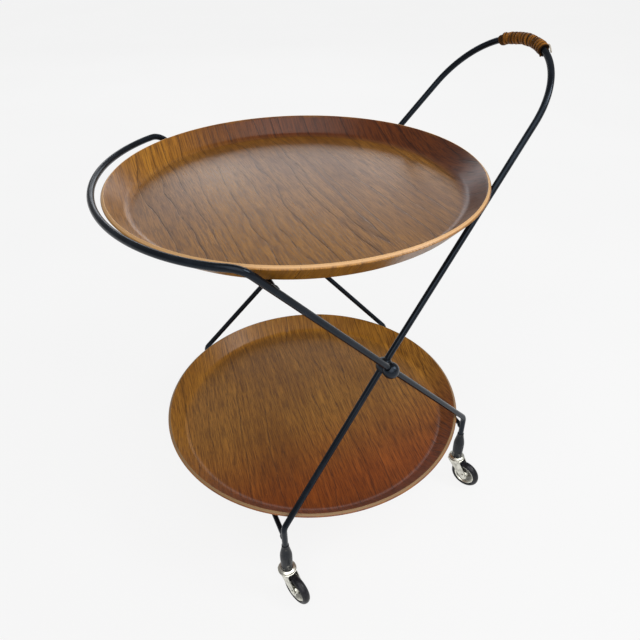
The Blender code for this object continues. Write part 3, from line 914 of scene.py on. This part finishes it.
class TROLLEY_OT_trays(TrolleyOperator, Operator):
    """Turns the two pressed plywood trays"""

    bl_idname = "trolley.trays"
    bl_label = "Trays"

    def execute(self, context):
        made = finishes()
        for name, spec, body, finish in (
                ("upper_tray", UPPER_TRAY, "upper_tray", "teak_upper"),
                ("lower_tray", LOWER_TRAY, "frame", "teak_lower")):
            outline, ply = self.outline(spec)
            points = turned(outline, 288)
            points[..., 0] += spec["x"]
            skin(name + "_ply", [points], [made[finish]], body,
                 [name], sharp=50,
                 attributes={"ply": np.broadcast_to(ply[:, None], points.shape[:2])})
        return {"FINISHED"}

    def outline(self, spec):
        """The tray's (r, z) outline and where each point lies through the ply.

        Inside: a flat floor, a fillet of FILLET_R through the flare's angle, then a straight
        wall.  Outside: the same lines one ply further out.  The edge is cut square to the sheet
        and its two corners are eased.
        """
        ply, depth = size("ply"), size("tray_depth")
        floor_z = spec["rim_z"] - depth
        run = FILLET_R * math.sin(FLARE) \
            + (depth - FILLET_R * (1 - math.cos(FLARE))) / math.tan(FLARE)
        floor_r = spec["rim_r"] - run
        angle = np.linspace(0, FLARE, 12)
        out, up = np.array([math.cos(FLARE), math.sin(FLARE)]), \
            np.array([-math.sin(FLARE), math.cos(FLARE)])
        rim = np.array([spec["rim_r"], spec["rim_z"]])

        def side(radius):
            """Floor and fillet at one distance from the fillet's centre."""
            arc = np.stack([floor_r + radius * np.sin(angle),
                            floor_z + FILLET_R - radius * np.cos(angle)], axis=-1)
            flat = np.stack([np.linspace(0, floor_r, 16)[:-1],
                             np.full(15, floor_z + FILLET_R - radius)], axis=-1)
            return np.vstack([flat, arc])

        ease_r = 0.0007
        inside = side(FILLET_R)
        wall = np.linspace(inside[-1], rim - ease_r * out, 8)[1:]
        turn = np.linspace(0, math.pi / 2, 5)[:, None]
        top_corner = rim - ease_r * (out + up) + ease_r * (np.sin(turn) * out + np.cos(turn) * up)
        low_rim = rim - ply * up
        low_corner = low_rim - ease_r * (out - up) \
            + ease_r * (np.cos(turn) * out - np.sin(turn) * up)
        outside = side(FILLET_R + ply)[::-1]
        low_wall = np.linspace(low_rim - ease_r * out, outside[0], 8)[1:-1]
        face = np.linspace(top_corner[-1], low_corner[0], 8)[1:-1]
        outline = np.vstack([inside, wall, top_corner[1:], face, low_corner, low_wall, outside])
        before = len(inside) + len(wall)
        edge = len(top_corner) - 1 + len(face) + len(low_corner) - 1
        across = np.linspace(0, 1, edge)
        after = len(outline) - before - edge
        return outline, np.concatenate([np.full(before, -1.0), across, np.full(after, 2.0)])


class TROLLEY_OT_casters(TrolleyOperator, Operator):
    """Makes the leg sockets and the four swivel casters"""

    bl_idname = "trolley.casters"
    bl_label = "Sockets and casters"

    def execute(self, context):
        made = finishes()
        shapes = {
            "leg_socket": (self.socket(), "frame", "socket_enamel", "socket_black"),
            "caster_race": (self.race(), "frame", "plated_steel", "plated"),
            "caster_stem": (self.stem(), "swivel", "plated_steel", "plated"),
            "caster_axle": (self.axle(), "swivel", "plated_steel", "plated"),
            "caster_wheel": (self.wheel(), "wheel", "wheel_plating", "wheel_metal"),
            "caster_tyre": (self.tyre(), "wheel", "tyre_rubber", "tyre"),
        }
        for tag, (place, side, turn) in CASTERS.items():
            at = foot(place, 0, side)
            for node, ((grid, wraps), body, finish, slot) in shapes.items():
                rides = body if body == "frame" else "{}_{}".format(body, tag)
                name = "{}_{}".format(node, tag)
                web = {"web": self.web(grid)} if node == "caster_wheel" else None
                skin(name + "_turned", [stand(grid, at, turn)], [made[finish]], rides,
                     [name], wraps, attributes=web)
            self.fork(tag, at, turn, made["plated_steel"])
        return {"FINISHED"}

    def socket(self):
        """A sleeve like a bottle: a neck, a long shoulder, then a slight taper to the foot."""
        low, high = 0.0585, 0.1130
        neck, body, rod = 0.0053, 0.0090, size("rod_radius")
        z = np.linspace(high - 0.0006, low + 0.0010, 40)
        shoulder = ease((high - 0.001 - z) / 0.0260)
        radius = neck + (body - neck) * shoulder - 0.0006 * ease((0.080 - z) / 0.020)
        outline = [(rod + 0.0002, high - 0.004), (rod + 0.0002, high - 0.0002),
                   (neck - 0.0005, high), *zip(radius, z), (body - 0.0004, low + 0.0002),
                   (body - 0.0010, low), (rod + 0.0006, low), (rod + 0.0006, low + 0.004)]
        return turned(outline, 56), (True, True)

    def race(self):
        """The fixed bearing cup: a rolled lip over a narrower neck."""
        corners = [(0.0050, 0.0562), (0.0086, 0.0553), (0.0126, 0.0553), (0.0126, 0.0567),
                   (0.0112, 0.0573), (0.0096, 0.0582), (0.0050, 0.0582)]
        outline = softened(corners, [0, 0.0003, 0.0005, 0.0005, 0.0006, 0.0003, 0], closed=True)
        return turned(outline, 56), (True, True)

    def stem(self):
        """The swivel pin and its riveted head."""
        corners = [(0, 0.0508), (0.0050, 0.0508), (0.0060, 0.0522), (0.0044, 0.0523),
                   (0.0044, 0.0895), (0.0034, 0.0905), (0, 0.0905)]
        outline = softened(corners, [0, 0.0006, 0.0002, 0, 0.0004, 0.0004, 0])
        return turned(outline, 32), (False, True)

    def axle(self):
        """The axle rivet: a domed head outside each cheek."""
        face = FORK_HALF + 0.0003
        polar = np.linspace(0, math.pi / 2, 8)
        dome = np.stack([0.0040 * np.sin(polar), face + 0.0013 * np.cos(polar)], axis=-1)
        half = np.vstack([dome, [(0.0022, face)]])
        outline = np.vstack([half, (half * (1, -1))[::-1]])
        return on_axle(turned(outline, 36)), (False, True)

    def wheel(self):
        """A pressed wheel with five ribs.

        The web's half-thickness is a hub, a dished ring and a rolled rim; between hub and rim it
        rises by (1 + cos 5 turn) / 2 along each rib.
        """
        radius = np.array([0.0030, 0.0031, 0.0048, 0.0053, 0.0060, 0.0072, 0.0088, 0.0104, 0.0120,
                           0.0132, 0.0142, 0.0148, 0.0154, 0.0163, 0.0172, 0.0180, 0.0184, 0.0185])
        half = np.array([0.0050, 0.0064, 0.0066, 0.0062, 0.0034, 0.0022, 0.0019, 0.0019, 0.0021,
                         0.0030, 0.0033, 0.0030, 0.0031, 0.0048, 0.0054, 0.0052, 0.0046, 0.0030])
        turn = np.linspace(0, 2 * math.pi, 80, endpoint=False)
        rib = ease((radius - 0.0058) / 0.002) * (1 - ease((radius - 0.0115) / 0.002))
        raised = half[:, None] + 0.0022 * rib[:, None] * ((1 + np.cos(5 * turn)) / 2) ** 2
        x = np.broadcast_to(radius[:, None] * np.cos(turn), raised.shape)
        y = np.broadcast_to(radius[:, None] * np.sin(turn), raised.shape)
        grid = np.concatenate([np.stack([x, y, raised], axis=-1),
                               np.stack([x, y, -raised], axis=-1)[::-1]])
        return on_axle(grid), (True, True)

    def web(self, grid):
        """How far a wheel's points lie in its recessed web, between the hub and the rim, where
        painted shade darkens it: 0 or 1.
        """
        hub, rim, fade = 0.0062, 0.0146, 0.001
        out = np.linalg.norm(grid[..., [0, 2]] - (TRAIL, WHEEL_Z), axis=-1)
        return ease((out - hub) / fade) * (1 - ease((out - rim) / fade))

    def tyre(self):
        """A solid tyre: a round tread, a step at each sidewall and a seat on the wheel."""
        wheel_r, seat = size("wheel_radius"), 0.0188
        angle = np.linspace(-math.pi / 2, math.pi / 2, 33)
        bulge = wheel_r - seat
        step = 0.00022 * np.exp(-((np.abs(angle) - 1.02) / 0.07) ** 2)
        tread = np.stack([seat + 0.0004 + (bulge - 0.0004 - step) * np.cos(angle),
                          (0.0064 - step) * np.sin(angle)], axis=-1)
        outline = np.vstack([[(seat - 0.0002, -0.0052), (seat - 0.0001, -0.0062)], tread,
                             [(seat - 0.0001, 0.0062), (seat - 0.0002, 0.0052)]])
        return on_axle(turned(outline, 112)), (True, True)

    def fork(self, tag, at, turn, material):
        """A stamped fork under a round ringed cap.

        The fork is one sheet that runs up a cheek, over the crown and down the other cheek.
        Every row of its grid spans the cheek from its back edge to its front edge; below the
        axle's height both edges follow the round boss until they meet.
        """
        top, back_x, front_x, boss_r, bend = 0.0532, -0.0118, 0.0120, 0.0068, 0.0030
        shoulder = top - bend
        corner = np.linspace(0, math.pi / 2, 7)[1:]
        z_crown = np.concatenate([shoulder + bend * np.sin(corner), [top]])
        down = np.linspace(0, 1, 20)[:, None]

        def edge(top_x, start, sweep, hollow):
            """One edge of the cheek, from under the boss up to the middle of the crown."""
            angle = math.radians(start) + math.radians(sweep) * np.linspace(0, 1, 10)
            boss = np.stack([TRAIL + boss_r * np.cos(angle), WHEEL_Z + boss_r * np.sin(angle)],
                            axis=-1)
            side = np.array([top_x, shoulder]) * (1 - down) + boss[0] * down
            side[:, 0] -= hollow * np.sin(math.pi * down[:, 0])
            crown = np.stack([np.full(len(z_crown), top_x), z_crown], axis=-1)
            return np.vstack([np.vstack([side, boss[1:]])[::-1], crown])

        back, front = edge(back_x, 210, 90, 0.00063), edge(front_x, 30, -90, 0.0007)
        y_cheek = np.concatenate([np.full(len(back) - len(z_crown), FORK_HALF),
                                  FORK_HALF - bend + bend * np.cos(corner), [0.0]])
        across = np.linspace(0, 1, 15)
        flat = back[:, None] * (1 - across[:, None]) + front[:, None] * across[:, None]
        pressed = 0.0004 * (1 - ease((0.5 - np.abs(across - 0.5)) / 0.16))
        y = y_cheek[:, None] + pressed * (y_cheek[:, None] > FORK_HALF - 1e-6) \
            * ease((flat[..., 1] - WHEEL_Z) / 0.006)
        half = np.stack([flat[..., 0], y, flat[..., 1]], axis=-1)
        grid = np.concatenate([half, (half * (1, -1, 1))[::-1][1:]])
        name = "caster_fork_" + tag
        fork = skin(name + "_pressed", [stand(grid, at, turn)], [material], "swivel_" + tag,
                    [name], wraps=(False, False), sharp=45)
        self.face_away(fork, stand(np.array([[[0.004, 0, 0.034]]]), at, turn)[0, 0])
        sheet = fork.modifiers.new("sheet", "SOLIDIFY")
        sheet.thickness = 0.0013
        sheet.offset = -1
        cap = [(0, 0.0524), (0.0128, 0.0524), (0.0138, 0.0531), (0.0138, 0.0541),
               (0.0126, 0.0546), (0.0118, 0.0543), (0.0110, 0.0549), (0.0080, 0.0550),
               (0.0050, 0.0550), (0, 0.0550)]
        outline = softened(cap, [0, 0.0004, 0.0004, 0.0004, 0.0004, 0.0004, 0.0004, 0, 0, 0])
        skin("caster_cap_" + tag, [stand(turned(outline, 64), at, turn)], [material],
             "swivel_" + tag)

    def face_away(self, piece, inside):
        """Turns an open sheet's faces away from a point within it."""
        mesh = piece.data
        centres, normals, areas = (np.zeros((len(mesh.polygons), width)) for width in (3, 3, 1))
        for key, values in (("center", centres), ("normal", normals), ("area", areas)):
            mesh.polygons.foreach_get(key, values.reshape(-1))
        outward = ((centres - inside) * normals * areas).sum()
        if outward < 0:
            mesh.flip_normals()


class TROLLEY_OT_studio(TrolleyOperator, Operator):
    """Sets the floor, the lights and the camera"""

    bl_idname = "trolley.studio"
    bl_label = "Studio"

    def execute(self, context):
        self.floor()
        self.sky(context.scene)
        self.light("key_panel", (-0.6, -2.1, 2.7), (0, 0, 0.35), (3.6, 3.6), 100.0,
                   (1.0, 0.99, 0.97))
        self.light("side_panel", (1.5, -1.1, 2.0), (0, 0, 0.35), (0.8, 0.8), 26.0,
                   (0.97, 0.985, 1.0))
        self.light("far_panel", (1.2, 3.38, 1.56), (-0.04, 0, 0.54), (3.4, 0.8), 23.0,
                   (0.93, 0.96, 1.0))
        self.camera(context.scene)
        context.scene.view_settings.view_transform = "Standard"
        return {"FINISHED"}

    def floor(self):
        """A round floor with a low swell of tone: rings of points about the middle."""
        finish = Finish("pale_floor", Roughness=0.9, Specular_IOR_Level=0.1)
        finish.shader.inputs["Emission Color"].default_value = (1.0, 1.0, 1.0, 1)
        finish.shader.inputs["Emission Strength"].default_value = 0.862
        tone = finish.noise(finish.place(), 1.3, 2)
        finish.set(Base_Color=finish.mix(tone.between(0.3, 0.7), (0.055, 0.055, 0.055, 1),
                                         (0.065, 0.065, 0.065, 1)))
        reach = np.concatenate([[0], np.geomspace(0.5, 40, 12)])
        mesh = bpy.data.meshes.new("floor")
        grid = turned(np.stack([reach, 0 * reach - 0.0002], axis=-1), 64)
        index = np.arange(grid.shape[0] * grid.shape[1]).reshape(grid.shape[:2])
        index = np.hstack([index, index[:, :1]])
        quads = np.stack([index[:-1, :-1], index[1:, :-1], index[1:, 1:], index[:-1, 1:]], axis=-1)
        mesh.from_pydata(grid.reshape(-1, 3).tolist(), [], quads.reshape(-1, 4).tolist())
        mesh.materials.append(finish.material)
        floor = bpy.data.objects.new("floor", mesh)
        bpy.context.scene.collection.objects.link(floor)

    def sky(self, scene):
        """An even pale sky, which looks a little brighter than it lights."""
        world = bpy.data.worlds.new("studio")
        world.use_nodes = True
        nodes, links = world.node_tree.nodes, world.node_tree.links
        back = nodes["Background"]
        back.inputs["Color"].default_value = (0.99, 0.995, 1.0, 1)
        lighting, seen = 0.31, 0.93
        rays = nodes.new("ShaderNodeLightPath")
        strength = nodes.new("ShaderNodeMapRange")
        strength.inputs["To Min"].default_value = lighting
        strength.inputs["To Max"].default_value = seen
        links.new(rays.outputs["Is Camera Ray"], strength.inputs["Value"])
        links.new(strength.outputs["Result"], back.inputs["Strength"])
        scene.world = world

    def light(self, name, place, aim, sides, power, tint):
        """A soft rectangular panel that faces a point."""
        lamp = bpy.data.lights.new(name, "AREA")
        lamp.shape = "RECTANGLE"
        lamp.size, lamp.size_y = sides
        lamp.energy = power
        lamp.color = tint
        panel = bpy.data.objects.new(name, lamp)
        bpy.context.scene.collection.objects.link(panel)
        place, aim = np.array(place), np.array(aim)
        back = unit(place - aim)
        side_on = unit(np.cross((0, 0, 1.0), back))
        axes = np.eye(4)
        axes[:3, :4] = np.stack([side_on, np.cross(back, side_on), back, place], axis=1)
        panel.matrix_world = Matrix(axes.tolist())

    def camera(self, scene):
        """A camera above the left front, looking down across the trays."""
        yaw, pitch, roll = (math.radians(a) for a in (22.30, 35.75, -1.06))
        ahead = np.array([math.sin(yaw) * math.cos(pitch), math.cos(yaw) * math.cos(pitch),
                          -math.sin(pitch)])
        right = np.array([math.cos(yaw), -math.sin(yaw), 0.0])
        up = np.cross(right, ahead)
        right, up = (math.cos(roll) * right + math.sin(roll) * up,
                     math.cos(roll) * up - math.sin(roll) * right)
        lens = bpy.data.cameras.new("camera")
        lens.lens = 32.53
        lens.sensor_width = 36.0
        camera = bpy.data.objects.new("camera", lens)
        scene.collection.objects.link(camera)
        axes = np.eye(4)
        axes[:3, :4] = np.stack([right, up, -ahead, (-0.29596, -0.68626, 0.85077)], axis=1)
        camera.matrix_world = Matrix(axes.tolist())
        scene.camera = camera


class TROLLEY_PT_builder(Panel):
    """Lists the trolley's sizes, colours and builders"""

    bl_idname = "TROLLEY_PT_builder"
    bl_label = "Tray Trolley"
    bl_space_type = "VIEW_3D"
    bl_region_type = "UI"
    bl_category = "Trolley"

    def draw(self, context):
        layout = self.layout
        for owner in (context.scene.trolley_sizes, context.scene.trolley_colours):
            box = layout.box()
            for key in owner.__annotations__:
                box.prop(owner, key)
        for builder in BUILDERS:
            layout.operator(builder.bl_idname)


BUILDERS = (TROLLEY_OT_rods, TROLLEY_OT_pivots, TROLLEY_OT_winding, TROLLEY_OT_trays,
            TROLLEY_OT_casters, TROLLEY_OT_studio)
CLASSES = (TrolleySizes, TrolleyColours, *BUILDERS, TROLLEY_PT_builder)


def register():
    for cls in CLASSES:
        bpy.utils.register_class(cls)
    bpy.types.Scene.trolley_sizes = PointerProperty(type=TrolleySizes)
    bpy.types.Scene.trolley_colours = PointerProperty(type=TrolleyColours)


def unregister():
    del bpy.types.Scene.trolley_colours
    del bpy.types.Scene.trolley_sizes
    for cls in reversed(CLASSES):
        bpy.utils.unregister_class(cls)


def main():
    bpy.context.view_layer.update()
    register()
    bpy.ops.trolley.rods()
    bpy.ops.trolley.pivots()
    bpy.ops.trolley.winding()
    bpy.ops.trolley.trays()
    bpy.ops.trolley.casters()
    bpy.ops.trolley.studio()


if __name__ == "__main__":
    main()
